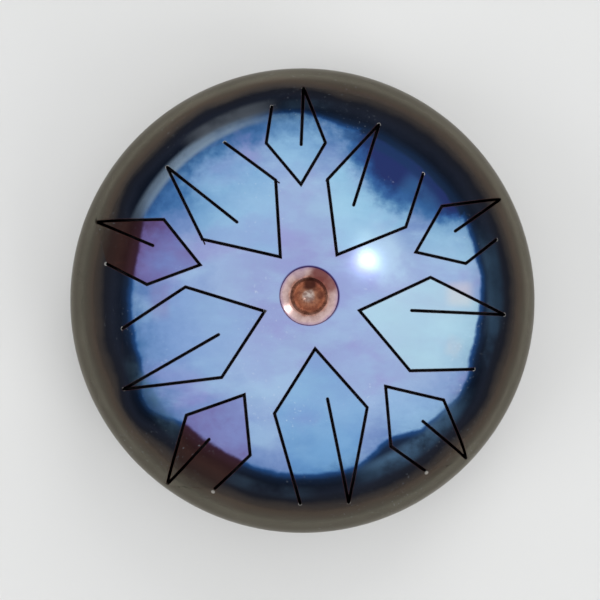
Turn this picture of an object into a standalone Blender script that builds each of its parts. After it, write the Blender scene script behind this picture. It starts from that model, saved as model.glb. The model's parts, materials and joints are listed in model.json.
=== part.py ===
"""Slotted steel tongue drum: two spun steel halves, ten cut tongues, a sound port and four rubber feet.

Lengths are in metres. +Z is up, the drum stands on z = 0 and its axis is the Z axis.
"""

import math
from collections import namedtuple

import bmesh
import bpy
from mathutils import Matrix, Vector

MM = 0.001

# ---- clearances ----
GAP = 0.3 * MM              # between two pieces that touch on the real drum
BORE_GAP = 0.3 * MM         # around a shank in its hole

# ---- spun halves ----
RIM_RADIUS = 255 * MM       # half of the 510 mm width
CROWN_RADIUS = 870 * MM     # sphere that each half is pressed to
KNUCKLE_RADIUS = 62 * MM    # rolled edge between the crown and the seam
SHEET = 1.8 * MM            # steel sheet
LAND = 4.0 * MM             # short upright strip of each half at the seam
SEGMENTS = 64
KNUCKLE_STEPS = 7
SHARP_ANGLE = math.radians(35)
UPPER_RINGS = (62 * MM, 98 * MM, 134 * MM, 172 * MM)
LOWER_RINGS = (77 * MM, 105 * MM, 133 * MM, 170 * MM)

# ---- centre dimple of the upper half ----
DIMPLE_RADIUS = 30 * MM
DIMPLE_LIP = 1.2 * MM       # width of the crisp edge
DIMPLE_LIP_DROP = 0.5 * MM
DIMPLE_SLOPE = 0.17         # fall of the ring around the bowl, per metre of run
BOWL_RADIUS = 19.5 * MM
BOWL_DEPTH = 4.6 * MM
BOWL_STEPS = 3

# ---- seam ----
BEAD_HEIGHT = 2.0 * MM
BEAD_PROUD = 0.35 * MM
HOOP_THICK = 1.5 * MM
HOOP_GAP = 0.4 * MM

# ---- sound port and its rubber edging ----
PORT_RADIUS = 50 * MM
EDGING_WEB = 2.0 * MM
EDGING_LEG = 7.5 * MM
EDGING_WALL = 1.7 * MM
EDGING_SEGMENTS = 32

# ---- feet ----
FOOT_CLEARANCE = 14 * MM    # lowest point of the unpierced crown above the table
FOOT_CIRCLE = 105 * MM      # radius at which the feet are fixed
FOOT_BEARINGS = (45, 135, 225, 315)
FOOT_TOP_RADIUS = 16 * MM
FOOT_BOTTOM_RADIUS = 12.5 * MM
FOOT_LENGTH = 26 * MM       # before its underside is levelled on the table
FOOT_EDGE = 1.5 * MM
FOOT_SEGMENTS = 20
SCREW_RADIUS = 2.5 * MM
SCREW_HEAD_RADIUS = 4.6 * MM
SCREW_FACE_RADIUS = 3.7 * MM    # flat of the head around the drive
SCREW_HEAD_HEIGHT = 2.6 * MM
SCREW_DRIVE_RADIUS = 1.7 * MM
SCREW_DRIVE_DEPTH = 1.4 * MM
SCREW_TOP = 10.5 * MM       # how far the screw's end stands inside the sheet's outer face
HEAD_SEAT = 9.5 * MM        # depth of the foot's inner shoulder below its top
WASHER_RADIUS = 5.2 * MM
WASHER_THICK = 1.0 * MM
COUNTERBORE_RADIUS = 5.8 * MM
NUT_BODY_RADIUS = 3.6 * MM
NUT_FLANGE_RADIUS = 5.2 * MM
NUT_FLANGE_THICK = 0.8 * MM
NUT_BULGE_HEIGHT = 2.0 * MM
NUT_TOP = 8.6 * MM
FASTENER_SEGMENTS = 12

# ---- slots ----
SLOT_HALF = 1.5 * MM        # half of the 3 mm slot
ROOT_CUT_HALF = 0.25 * MM   # the parting line where each tongue bends from the sheet
OVERRUN_HALF = 0.6 * MM     # where a straight cut runs past its corner
ARC_STEP = math.radians(36)
CUTTER_MARGIN = 20 * MM     # a cutter starts this far above the seam and ends as far above the crown
HOLE_REACH = 11 * MM        # of a hole's cutter, to each side of the sheet

# The slots are laid out on a grid that divides the rim's radius in 255, which makes a division
# one millimetre on this drum. Each tongue has its own plan frame: the first number of a pair is
# the distance out from the drum's axis along the tongue's bearing, the second the distance to
# its left. The slot starts at root_a, turns at shoulder_a, the tip and shoulder_b, ends at
# root_b and comes back inwards from there to the tail. An overrun is a cut's length past its
# shoulder.
PLAN_DIVISIONS = 255
Tongue = namedtuple(
    "Tongue", "bearing tip shoulder_a shoulder_b root_a root_b tail overrun_a overrun_b")
TONGUES = (
    Tongue(94, (113.5, 0), (159.5, 32), (156, -28.5), (199, 23.5), (218.5, -11), (155.5, -3.5), 2, 0),
    Tongue(56, (50, 0), (114, -42.5), (109, 50.5), (172, -27.5), (190, 39), (102, 14), 0, 2.5),
    Tongue(22, (118, 1), (163.5, -29), (163, 35), (205.5, -18), (229, 20), (166, 6), 0, 0),
    Tongue(-16, (52.5, 0), (119.5, -44), (114, 53), (185, -24.5), (202, 39), (104, 15), 0, 0),
    Tongue(-49, (119.5, -1), (170.5, -36.5), (171, 35.5), (215, -26), (239, 16), (173, 5), 0, 0),
    Tongue(-83, (53, -0.5), (112.5, -48.5), (118.5, 45), (209, -33.5), (215, 16), (104.5, 6), 0, 0),
    Tongue(-123, (118, -0.5), (166.5, 38), (167.5, -38), (216, 27), (242.5, -16), (175.5, -5.5), 0, 0),
    Tongue(-161, (47, 0), (114, -49), (109, 48.5), (188.5, -30.5), (208, 28), (98, 7), 0, 0),
    Tongue(164, (113.5, 0), (160, 33.5), (162.5, -34.5), (206, 24.5), (231.5, -14.5), (165.5, -6), 0, 0),
    Tongue(127, (48.5, -0.5), (114, -44), (110, 51), (177.5, -26.5), (193, 35.5), (103, 13), 5, 6),
)

# ---- what follows from the dimensions above ----
PLAN_UNIT = RIM_RADIUS / PLAN_DIVISIONS
EDGE_RADIUS = RIM_RADIUS - KNUCKLE_RADIUS
CROWN_RISE = CROWN_RADIUS - math.sqrt(
    (CROWN_RADIUS - KNUCKLE_RADIUS) ** 2 - EDGE_RADIUS ** 2)
JUNCTION_TILT = math.acos(EDGE_RADIUS / (CROWN_RADIUS - KNUCKLE_RADIUS))
JUNCTION_RADIUS = EDGE_RADIUS + KNUCKLE_RADIUS * math.cos(JUNCTION_TILT)
SEAM_HALF = BEAD_HEIGHT / 2 + GAP
HALF_HEIGHT = SEAM_HALF + LAND + CROWN_RISE
SEAM_Z = FOOT_CLEARANCE + HALF_HEIGHT

# ---- colours, roughness and metallic of the pieces ----
Finish = namedtuple("Finish", "colour roughness metallic")
BLUED_STEEL = Finish((0.30, 0.44, 0.66), 0.22, 1.0)
VIOLET_STEEL = Finish((0.36, 0.34, 0.60), 0.24, 1.0)
DARK_STEEL = Finish((0.16, 0.19, 0.26), 0.32, 1.0)
WELD = Finish((0.42, 0.40, 0.38), 0.38, 1.0)
BARE_STEEL = Finish((0.46, 0.46, 0.47), 0.35, 1.0)
ZINC = Finish((0.66, 0.66, 0.64), 0.30, 1.0)
BLACK_RUBBER = Finish((0.025, 0.025, 0.027), 0.82, 0.0)


def clear_scene():
    for item in list(bpy.data.objects):
        bpy.data.objects.remove(item)


def paint(mesh, finish):
    material = bpy.data.materials.new(mesh.name)
    material.use_nodes = True
    shader = material.node_tree.nodes["Principled BSDF"]
    shader.inputs["Base Color"].default_value = (*finish.colour, 1.0)
    shader.inputs["Roughness"].default_value = finish.roughness
    shader.inputs["Metallic"].default_value = finish.metallic
    mesh.materials.append(material)


def add_object(name, mesh):
    item = bpy.data.objects.new(name, mesh)
    bpy.context.scene.collection.objects.link(item)
    return item


def mesh_from(name, bm):
    if bm.calc_volume(signed=True) < 0:
        bmesh.ops.reverse_faces(bm, faces=bm.faces)
    mesh = bpy.data.meshes.new(name)
    bm.to_mesh(mesh)
    bm.free()
    mesh.shade_smooth()
    mesh.set_sharp_from_angle(angle=SHARP_ANGLE)
    return mesh


def hide_as_cutter(item):
    item.hide_render = True
    item.display_type = "WIRE"


def add_boolean(item, cutter, operation):
    modifier = item.modifiers.new(cutter.name, "BOOLEAN")
    modifier.operation = operation
    modifier.solver = "EXACT"
    modifier.object = cutter


# ---- the spun halves ----

def crown_height(radius):
    """Height of the crown over the half's seam edge, for a radius inside the knuckle."""
    centre = LAND + CROWN_RISE - CROWN_RADIUS
    return centre + math.sqrt(CROWN_RADIUS ** 2 - radius ** 2)


def surface_height(radius):
    """Height of the outer surface over the half's seam edge, at any radius."""
    if radius < JUNCTION_RADIUS:
        return crown_height(radius)
    return LAND + math.sqrt(KNUCKLE_RADIUS ** 2 - (radius - EDGE_RADIUS) ** 2)


def knuckle_profile():
    """From the crown's edge down to the seam edge, as (radius, height over the seam edge)."""
    points = []
    for step in range(KNUCKLE_STEPS + 1):
        tilt = JUNCTION_TILT * (1 - step / KNUCKLE_STEPS)
        points.append((EDGE_RADIUS + KNUCKLE_RADIUS * math.cos(tilt),
                       LAND + KNUCKLE_RADIUS * math.sin(tilt)))
    points.append((RIM_RADIUS, 0.0))
    return points


def dimple_profile():
    """From the centre of the bowl out to the dimple's edge."""
    edge_height = crown_height(DIMPLE_RADIUS)
    lip_radius = DIMPLE_RADIUS - DIMPLE_LIP
    lip_height = edge_height - DIMPLE_LIP_DROP
    brim_height = lip_height - DIMPLE_SLOPE * (lip_radius - BOWL_RADIUS)
    points = []
    for step in range(BOWL_STEPS + 1):
        share = step / BOWL_STEPS
        points.append((BOWL_RADIUS * share, brim_height - BOWL_DEPTH * (1 - share ** 2)))
    points.append((lip_radius, lip_height))
    points.append((DIMPLE_RADIUS, edge_height))
    return points


def upper_profile():
    crown = [(radius, crown_height(radius)) for radius in UPPER_RINGS]
    return [(r, SEAM_Z + SEAM_HALF + h) for r, h in dimple_profile() + crown + knuckle_profile()]


def lower_profile():
    crown = [(radius, crown_height(radius)) for radius in (PORT_RADIUS,) + LOWER_RINGS]
    outwards = crown + knuckle_profile()
    return [(r, SEAM_Z - SEAM_HALF - h) for r, h in reversed(outwards)]


def profile_mesh(name, profile):
    vertices = [(radius, 0.0, height) for radius, height in profile]
    edges = [(i, i + 1) for i in range(len(profile) - 1)]
    mesh = bpy.data.meshes.new(name)
    mesh.from_pydata(vertices, edges, [])
    return mesh


def add_screw(item, segments):
    modifier = item.modifiers.new("turn", "SCREW")
    modifier.steps = segments
    modifier.render_steps = segments
    modifier.use_merge_vertices = True
    modifier.merge_threshold = 0.00001
    modifier.use_smooth_shade = True


def add_spun_sheet(name, profile, finish):
    """A profile turned about the drum's axis and given the sheet's thickness inwards."""
    item = add_object(name, profile_mesh(name, profile))
    paint(item.data, finish)
    add_screw(item, SEGMENTS)
    modifier = item.modifiers.new("sheet", "SOLIDIFY")
    modifier.thickness = SHEET
    modifier.offset = -1.0
    modifier.use_even_offset = True
    return item


# ---- plan geometry of the slots ----

def left_of(direction):
    return Vector((-direction.y, direction.x))


def meet(point, direction, other_point, other_direction):
    """Where two lines of the plan cross."""
    across = left_of(other_direction)
    travel = (other_point - point).dot(across) / direction.dot(across)
    return point + direction * travel


def offset_corner(before, corner, after, offset):
    """The mitred corner of a path moved to its left by offset."""
    first = (corner - before).normalized()
    second = (after - corner).normalized()
    return meet(corner + left_of(first) * offset, first,
                corner + left_of(second) * offset, second)


def arc(centre, start, finish, through):
    """Points on a slot's round end, from one direction to another by way of a third."""
    begin = math.atan2(start.y, start.x)
    turn = start.angle_signed(through) * -1.0
    rest = through.angle_signed(finish) * -1.0
    total = turn + rest
    steps = max(1, math.ceil(abs(total) / ARC_STEP))
    points = []
    for step in range(steps + 1):
        angle = begin + total * step / steps
        points.append(centre + Vector((math.cos(angle), math.sin(angle))) * SLOT_HALF)
    return points


class SlotPlan:
    """The slot of one tongue in the drum's plan, and the two outlines that it leaves."""

    def __init__(self, tongue):
        turn = Matrix.Rotation(math.radians(tongue.bearing), 2)

        def place(pair):
            return turn @ (Vector(pair) * PLAN_UNIT)

        self.tip = place(tongue.tip)
        self.shoulder_a = place(tongue.shoulder_a)
        self.shoulder_b = place(tongue.shoulder_b)
        self.root_a = place(tongue.root_a)
        self.root_b = place(tongue.root_b)
        self.tail = place(tongue.tail)
        self.overrun_a = tongue.overrun_a * PLAN_UNIT
        self.overrun_b = tongue.overrun_b * PLAN_UNIT
        self.side = 1.0 if tongue.root_a[1] < tongue.root_b[1] else -1.0
        self.outside = self.side * SLOT_HALF
        self.chord = (self.root_a - self.root_b).normalized()
        self.outward = left_of(self.chord) * self.side
        self.leg_a = (self.shoulder_a - self.root_a).normalized()
        self.leg_b = (self.shoulder_b - self.root_b).normalized()
        self.tail_leg = (self.tail - self.root_b).normalized()
        self.inside_a = left_of(self.leg_a) * -self.side
        self.inside_b = left_of(self.leg_b) * self.side
        self.stem_side = left_of(self.tail_leg) * self.side

    def overrun(self, start, shoulder, beyond, length, entering):
        """The narrow end of a cut that runs past its shoulder, as seen on the outer edge."""
        if length == 0:
            return []
        travel = (shoulder - start).normalized()
        edge = (beyond - shoulder).normalized()
        flip = 1.0 if entering else -1.0
        edge_point = shoulder + left_of(edge) * self.outside * flip
        outer = shoulder + left_of(travel) * self.side * OVERRUN_HALF * flip
        inner = shoulder - left_of(travel) * self.side * OVERRUN_HALF * flip
        points = [
            meet(outer, travel, edge_point, edge),
            outer + travel * length,
            inner + travel * length,
            meet(inner, travel, edge_point, edge),
        ]
        return points if entering else points[::-1]

    def cut_corner(self, end, normal, inwards, toward, offset):
        """Where an edge of the parting line, offset outwards from the chord, leaves a slot.

        It meets the slot's straight side if that starts beyond the edge, and otherwise its
        round end. Gives the direction at which the round end stops, and any corner after it.
        """
        if normal.dot(self.outward) * SLOT_HALF > offset:
            corner = meet(end + normal * SLOT_HALF, inwards,
                          end + self.outward * offset, self.chord)
            return normal, [corner]
        reach = toward * math.sqrt(SLOT_HALF ** 2 - offset ** 2)
        return (reach + self.outward * offset) / SLOT_HALF, []

    def window(self):
        """The opening that the slot and the parting line leave in the sheet."""
        points = [offset_corner(self.root_a, self.shoulder_a, self.tip, self.outside)]
        points += self.overrun(self.root_a, self.shoulder_a, self.tip, self.overrun_a, True)
        points.append(offset_corner(self.shoulder_a, self.tip, self.shoulder_b, self.outside))
        points += self.overrun(self.root_b, self.shoulder_b, self.tip, self.overrun_b, False)
        points.append(offset_corner(self.tip, self.shoulder_b, self.root_b, self.outside))
        stop, corner = self.cut_corner(
            self.root_b, self.stem_side, self.tail_leg, self.chord, ROOT_CUT_HALF)
        points += arc(self.root_b, self.inside_b * -1.0, stop, self.leg_b * -1.0)
        points += corner
        start, corner = self.cut_corner(
            self.root_a, self.inside_a, self.leg_a, self.chord * -1.0, ROOT_CUT_HALF)
        points += corner
        points += arc(self.root_a, start, self.inside_a * -1.0, self.leg_a * -1.0)
        return points

    def outline(self):
        """The tongue itself, inside its slot and the parting line."""
        stop, corner = self.cut_corner(
            self.root_a, self.inside_a, self.leg_a, self.chord * -1.0, -ROOT_CUT_HALF)
        points = corner or arc(self.root_a, self.inside_a, stop, self.inside_a)
        start, corner = self.cut_corner(
            self.root_b, self.stem_side, self.tail_leg, self.chord, -ROOT_CUT_HALF)
        points += corner or arc(self.root_b, start, self.stem_side, start)
        points += arc(self.tail, self.stem_side, self.stem_side * -1.0, self.tail_leg)
        points.append(meet(self.root_b - self.stem_side * SLOT_HALF, self.tail_leg,
                           self.root_b + self.inside_b * SLOT_HALF, self.leg_b))
        points.append(offset_corner(self.tip, self.shoulder_b, self.root_b, -self.outside))
        points.append(offset_corner(self.shoulder_a, self.tip, self.shoulder_b, -self.outside))
        points.append(offset_corner(self.root_a, self.shoulder_a, self.tip, -self.outside))
        return points

    def hinge_ends(self):
        """The two ends of the line that the tongue bends about, in the middle of the sheet."""
        ends = []
        for point in (self.root_a, self.root_b):
            height = SEAM_Z + SEAM_HALF + surface_height(point.length)
            normal = outer_normal(point)
            ends.append(Vector((point.x, point.y, height)) - normal * SHEET / 2)
        return ends


def outer_normal(point):
    """The upper half's outward normal over a point of the plan."""
    radius = point.length
    if radius < JUNCTION_RADIUS:
        lean = radius / CROWN_RADIUS
    else:
        lean = (radius - EDGE_RADIUS) / KNUCKLE_RADIUS
    flat = point.normalized() * lean
    return Vector((flat.x, flat.y, math.sqrt(1 - lean ** 2)))


def anticlockwise(outline):
    """The outline's points in anticlockwise order, seen from above."""
    pairs = zip(outline, outline[1:] + outline[:1])
    twice_area = sum(here.x * there.y - there.x * here.y for here, there in pairs)
    return outline if twice_area > 0 else outline[::-1]


def add_prism_cutter(name, outlines):
    """Upright prisms over the plan outlines, through the upper half only."""
    bm = bmesh.new()
    low = SEAM_Z + CUTTER_MARGIN
    high = SEAM_Z + HALF_HEIGHT + CUTTER_MARGIN
    for outline in outlines:
        bottom = [bm.verts.new((p.x, p.y, low)) for p in anticlockwise(outline)]
        top = [bm.verts.new((p.x, p.y, high)) for p in anticlockwise(outline)]
        count = len(outline)
        bm.faces.new(bottom[::-1])
        bm.faces.new(top)
        for i in range(count):
            j = (i + 1) % count
            bm.faces.new((bottom[i], bottom[j], top[j], top[i]))
    item = add_object(name, mesh_from(name, bm))
    hide_as_cutter(item)
    return item


def add_bend_axis(name, ends):
    """An empty on the line that a tongue bends about, its X axis along that line."""
    empty = bpy.data.objects.new(name, None)
    bpy.context.scene.collection.objects.link(empty)
    along = (ends[1] - ends[0]).normalized()
    side = Vector((0, 0, 1)).cross(along).normalized()
    upright = along.cross(side)
    turn = Matrix((along, side, upright)).transposed().to_4x4()
    placement = Matrix.Translation((ends[0] + ends[1]) / 2) @ turn
    empty.matrix_world = placement
    return empty, placement


def build_upper_half():
    plans = [SlotPlan(tongue) for tongue in TONGUES]
    shell = add_spun_sheet("upper_shell", upper_profile(), BLUED_STEEL)
    windows = add_prism_cutter("slot_windows", [plan.window() for plan in plans])
    add_boolean(shell, windows, "DIFFERENCE")
    for number, plan in enumerate(plans, 1):
        name = f"tongue_{number}"
        finish = VIOLET_STEEL if number in (7, 9) else BLUED_STEEL
        tongue = add_spun_sheet(name, upper_profile(), finish)
        outline = add_prism_cutter(f"{name}_outline", [plan.outline()])
        add_boolean(tongue, outline, "INTERSECT")
        axis, placement = add_bend_axis(f"{name}_axis", plan.hinge_ends())
        tongue.parent = axis
        tongue.matrix_parent_inverse = placement.inverted()


# ---- turned pieces ----

def turned_mesh(name, outline, segments, finish=None):
    """A closed outline (radius, height) turned about Z."""
    bm = bmesh.new()
    rings = []
    for radius, height in outline:
        if radius == 0:
            rings.append([bm.verts.new((0.0, 0.0, height))] * segments)
            continue
        ring = []
        for step in range(segments):
            angle = 2 * math.pi * step / segments
            ring.append(bm.verts.new((radius * math.cos(angle), radius * math.sin(angle), height)))
        rings.append(ring)
    for here, there in zip(rings, rings[1:] + rings[:1]):
        for step in range(segments):
            after = (step + 1) % segments
            corners = []
            for vertex in (here[step], here[after], there[after], there[step]):
                if vertex not in corners:
                    corners.append(vertex)
            if len(corners) > 2:
                bm.faces.new(corners)
    mesh = mesh_from(name, bm)
    if finish:
        paint(mesh, finish)
    return mesh


def add_turned(name, outline, segments, finish):
    return add_object(name, turned_mesh(name, outline, segments, finish))


def build_seam():
    """The backing hoop inside the joint and the dressed weld bead in its groove."""
    outer = RIM_RADIUS - SHEET - HOOP_GAP
    inner = outer - HOOP_THICK
    reach = SEAM_HALF + LAND
    hoop = [
        (outer, SEAM_Z + reach),
        (inner, SEAM_Z + reach),
        (inner, SEAM_Z - reach),
        (outer, SEAM_Z - reach),
    ]
    add_turned("joint_hoop", hoop, SEGMENTS, BARE_STEEL)
    half = BEAD_HEIGHT / 2
    inside = RIM_RADIUS - SHEET
    bead = [
        (inside, SEAM_Z - half),
        (RIM_RADIUS, SEAM_Z - half),
        (RIM_RADIUS + BEAD_PROUD, SEAM_Z),
        (RIM_RADIUS, SEAM_Z + half),
        (inside, SEAM_Z + half),
    ]
    add_turned("seam_bead", bead, SEGMENTS, WELD)


def build_port_edging():
    """A rubber channel pushed over the edge of the sound port."""
    lean = math.asin(PORT_RADIUS / CROWN_RADIUS)
    height = SEAM_Z - SEAM_HALF - crown_height(PORT_RADIUS)
    edge = Vector((PORT_RADIUS, height))
    along = Vector((math.cos(lean), math.sin(lean)))
    inwards = Vector((-math.sin(lean), math.cos(lean)))

    def at(run, rise):
        return tuple(edge + along * run + inwards * rise)

    under = -GAP
    over = SHEET + GAP
    web = -GAP - EDGING_WEB
    soft = EDGING_WALL / 2
    outline = [
        at(-GAP, under),
        at(EDGING_LEG, under),
        at(EDGING_LEG, under - EDGING_WALL),
        at(web + soft, under - EDGING_WALL),
        at(web, under),
        at(web, over),
        at(web + soft, over + EDGING_WALL),
        at(EDGING_LEG, over + EDGING_WALL),
        at(EDGING_LEG, over),
        at(-GAP, over),
    ]
    add_turned("port_trim", outline, EDGING_SEGMENTS, BLACK_RUBBER)


# ---- feet ----

def foot_placement(bearing):
    """A foot's frame: on the sheet's outer face, its Z axis square to the sheet and inwards."""
    lean = math.asin(FOOT_CIRCLE / CROWN_RADIUS)
    height = SEAM_Z - SEAM_HALF - crown_height(FOOT_CIRCLE)
    around = Matrix.Rotation(math.radians(bearing), 4, "Z")
    tilt = Matrix.Rotation(-lean, 4, "Y")
    return around @ Matrix.Translation((FOOT_CIRCLE, 0.0, height)) @ tilt


def foot_outline():
    top = -GAP
    nut_seat = top - NUT_FLANGE_THICK - GAP - GAP
    shoulder = top - HEAD_SEAT
    shank = SCREW_RADIUS + BORE_GAP
    return [
        (NUT_FLANGE_RADIUS + BORE_GAP, top),
        (NUT_FLANGE_RADIUS + BORE_GAP, nut_seat),
        (shank, nut_seat),
        (shank, shoulder),
        (COUNTERBORE_RADIUS, shoulder),
        (COUNTERBORE_RADIUS, -FOOT_LENGTH),
        (FOOT_BOTTOM_RADIUS, -FOOT_LENGTH),
        (FOOT_TOP_RADIUS, top - FOOT_EDGE),
        (FOOT_TOP_RADIUS - FOOT_EDGE, top),
    ]


def nut_outline():
    bore = SCREW_RADIUS + BORE_GAP
    flange_top = -GAP
    bulge = SHEET + GAP
    return [
        (bore, flange_top - NUT_FLANGE_THICK),
        (NUT_FLANGE_RADIUS, flange_top - NUT_FLANGE_THICK),
        (NUT_FLANGE_RADIUS, flange_top),
        (NUT_BODY_RADIUS, flange_top),
        (NUT_BODY_RADIUS, bulge),
        (NUT_FLANGE_RADIUS, bulge),
        (NUT_BODY_RADIUS, bulge + NUT_BULGE_HEIGHT),
        (NUT_BODY_RADIUS, NUT_TOP),
        (bore, NUT_TOP),
    ]


def washer_outline():
    top = -GAP - HEAD_SEAT - GAP
    return [
        (SCREW_RADIUS + BORE_GAP, top - WASHER_THICK),
        (WASHER_RADIUS, top - WASHER_THICK),
        (WASHER_RADIUS, top),
        (SCREW_RADIUS + BORE_GAP, top),
    ]


def screw_outline():
    seat = -GAP - HEAD_SEAT - GAP - WASHER_THICK - GAP
    under = seat - SCREW_HEAD_HEIGHT
    return [
        (0.0, SCREW_TOP),
        (0.0, under + SCREW_DRIVE_DEPTH),
        (SCREW_DRIVE_RADIUS, under + SCREW_DRIVE_DEPTH),
        (SCREW_DRIVE_RADIUS, under),
        (SCREW_FACE_RADIUS, under),
        (SCREW_HEAD_RADIUS, seat - SCREW_HEAD_HEIGHT / 2),
        (SCREW_HEAD_RADIUS, seat),
        (SCREW_RADIUS, seat),
        (SCREW_RADIUS, SCREW_TOP),
    ]


def add_at_feet(name, outline, segments, finish=None):
    """The same turned piece at each of the four feet."""
    mesh = turned_mesh(name, outline, segments, finish)
    copies = []
    for number, bearing in enumerate(FOOT_BEARINGS, 1):
        copy = add_object(f"{name}_{number}", mesh)
        copy.matrix_world = foot_placement(bearing)
        copies.append(copy)
    return copies


def sheet_hole_outline():
    radius = NUT_BODY_RADIUS + BORE_GAP
    return [(0.0, -HOLE_REACH), (radius, -HOLE_REACH), (radius, HOLE_REACH), (0.0, HOLE_REACH)]


def add_table_cutter():
    """A block that fills the space under z = 0, to level the feet."""
    bm = bmesh.new()
    bmesh.ops.create_cube(bm, size=2 * RIM_RADIUS)
    bmesh.ops.translate(bm, verts=bm.verts, vec=(0.0, 0.0, -RIM_RADIUS))
    cutter = add_object("table_block", mesh_from("table_block", bm))
    hide_as_cutter(cutter)
    return cutter


def build_lower_half():
    shell = add_spun_sheet("lower_shell", lower_profile(), DARK_STEEL)
    for cutter in add_at_feet("sheet_hole", sheet_hole_outline(), FASTENER_SEGMENTS):
        hide_as_cutter(cutter)
        add_boolean(shell, cutter, "DIFFERENCE")
    build_port_edging()
    table = add_table_cutter()
    for foot in add_at_feet("foot", foot_outline(), FOOT_SEGMENTS, BLACK_RUBBER):
        add_boolean(foot, table, "DIFFERENCE")
    add_at_feet("foot_rivet_nut", nut_outline(), FASTENER_SEGMENTS, ZINC)
    add_at_feet("foot_washer", washer_outline(), FASTENER_SEGMENTS, ZINC)
    add_at_feet("foot_screw", screw_outline(), FASTENER_SEGMENTS, ZINC)


clear_scene()
build_upper_half()
build_seam()
build_lower_half()
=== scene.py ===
"""A slotted steel tongue drum: its fine surfaces, heat-tinted finish, studio and camera.

Lengths are in metres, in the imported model's own frame: +Z up, the drum's axis on Z, feet on z = 0.
"""

import json
import math
from collections import namedtuple

import bmesh
import bpy
from mathutils import Matrix, Vector


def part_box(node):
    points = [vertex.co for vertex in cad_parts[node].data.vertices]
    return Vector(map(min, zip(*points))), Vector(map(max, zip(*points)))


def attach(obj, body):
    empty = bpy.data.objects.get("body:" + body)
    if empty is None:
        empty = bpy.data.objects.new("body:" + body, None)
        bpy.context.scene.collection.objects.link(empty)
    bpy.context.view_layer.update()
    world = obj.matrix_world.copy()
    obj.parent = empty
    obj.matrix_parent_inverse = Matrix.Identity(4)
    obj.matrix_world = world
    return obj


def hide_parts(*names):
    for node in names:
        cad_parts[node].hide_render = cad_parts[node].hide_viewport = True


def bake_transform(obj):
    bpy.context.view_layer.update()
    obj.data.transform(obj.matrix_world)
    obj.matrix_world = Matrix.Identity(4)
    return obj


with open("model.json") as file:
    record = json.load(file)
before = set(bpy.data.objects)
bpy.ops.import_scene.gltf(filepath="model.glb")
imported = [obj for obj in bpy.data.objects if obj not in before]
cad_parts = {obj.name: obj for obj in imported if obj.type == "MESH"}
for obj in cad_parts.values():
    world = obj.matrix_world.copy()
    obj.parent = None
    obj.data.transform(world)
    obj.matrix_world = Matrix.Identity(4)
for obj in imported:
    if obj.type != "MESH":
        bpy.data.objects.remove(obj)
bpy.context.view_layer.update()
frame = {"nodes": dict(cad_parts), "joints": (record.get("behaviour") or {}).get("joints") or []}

MM = 0.001

# ---- the spun halves ----
CROWN_RADIUS = 870 * MM     # sphere that each half is pressed to
KNUCKLE_RADIUS = 62 * MM    # rolled edge between the crown and the seam
SHEET = 1.8 * MM
LAND = 4.0 * MM             # short upright strip of each half at the seam
SECTORS = 256               # facets round the fine surfaces
KNUCKLE_LEVELS = 26
CROWN_LEVELS = 20

# ---- centre dimple ----
DIMPLE_RADIUS = 30 * MM
DIMPLE_LIP = 1.4 * MM       # width of the crisp edge
DIMPLE_LIP_DROP = 0.5 * MM
DIMPLE_SLOPE = 0.14         # fall of the ring around the bowl, per metre of run
BOWL_RADIUS = 19.5 * MM
BOWL_DEPTH = 4.8 * MM
BOWL_BLEND = 1.6 * MM       # the bowl's edge is rounded over this much to each side
DIMPLE_LEVELS = 22
DIMPLE_STEP = 0.1 * MM      # of the sum that turns slopes into heights

# ---- seam, sound port and feet: the pieces' own sizes, repeated from the part ----
GAP = 0.3 * MM
HOOP_THICK = 1.5 * MM
BEAD_PROUD = 0.35 * MM
BEAD_RIPPLES = 400          # scallops that the weld left round the drum
PORT_RADIUS = 50 * MM
EDGING_WEB = 2.0 * MM
EDGING_LEG = 7.5 * MM
EDGING_WALL = 1.7 * MM
EDGING_JOINT = math.radians(0.6)    # where the edging's two ends meet
FOOT_CIRCLE = 105 * MM
FOOT_TOP_RADIUS = 16 * MM
FOOT_BOTTOM_RADIUS = 12.5 * MM
FOOT_LENGTH = 26 * MM
FOOT_EDGE = 1.5 * MM
FOOT_GROOVES = (0.34, 0.62)         # of the way up the foot's side
GROOVE_HALF = 0.03
GROOVE_DEPTH = 0.5 * MM
HEAD_SEAT = 9.5 * MM
COUNTERBORE_RADIUS = 5.8 * MM
SCREW_RADIUS = 2.5 * MM
SCREW_HEAD_RADIUS = 4.6 * MM
SCREW_FACE_RADIUS = 3.7 * MM
SCREW_HEAD_HEIGHT = 2.6 * MM
SCREW_DRIVE_RADIUS = 1.7 * MM
SCREW_DRIVE_DEPTH = 1.4 * MM
SCREW_TOP = 10.5 * MM
THREAD_PITCH = 0.8 * MM
THREAD_DEPTH = 0.35 * MM
BORE_RADIUS = SCREW_RADIUS + GAP
WASHER_RADIUS = 5.2 * MM
WASHER_THICK = 1.0 * MM
NUT_BODY_RADIUS = 3.6 * MM
NUT_FLANGE_RADIUS = 5.2 * MM
NUT_FLANGE_THICK = 0.8 * MM
NUT_BULGE_HEIGHT = 2.0 * MM
NUT_TOP = 8.6 * MM

# ---- what the mesh tools need ----
WELD = 0.01 * MM
FLAT = math.radians(0.03)   # facets this close to one plane are one facet
FACING = 0.5                # a face this much along the surface's normal belongs to the surface
ROOT_GAP = 0.5 * MM         # parting line across a tongue's root, closed on the fine surfaces
ROOT_BAND = 0.4 * MM
SLOT_HALF = 1.5 * MM
EASE_STEPS = 4              # facets of a rounded corner
BEAD_STEPS = 8              # facets across the weld, and for each of its ripples along it
RIPPLE_STEPS = 4
EDGING_SECTORS = 192        # facets round each turned piece
FOOT_SECTORS = 64
FASTENER_SECTORS = 48
SHARP_ANGLE = math.radians(35)

# ---- camera, at the photograph's viewing angle ----
CAMERA_PLACE = (-0.0444, -0.0289, 0.960)
CAMERA_TARGET = (-0.0053, -0.00125, 0.110)
SENSOR = 36.0
LENS = 46.07


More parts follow.
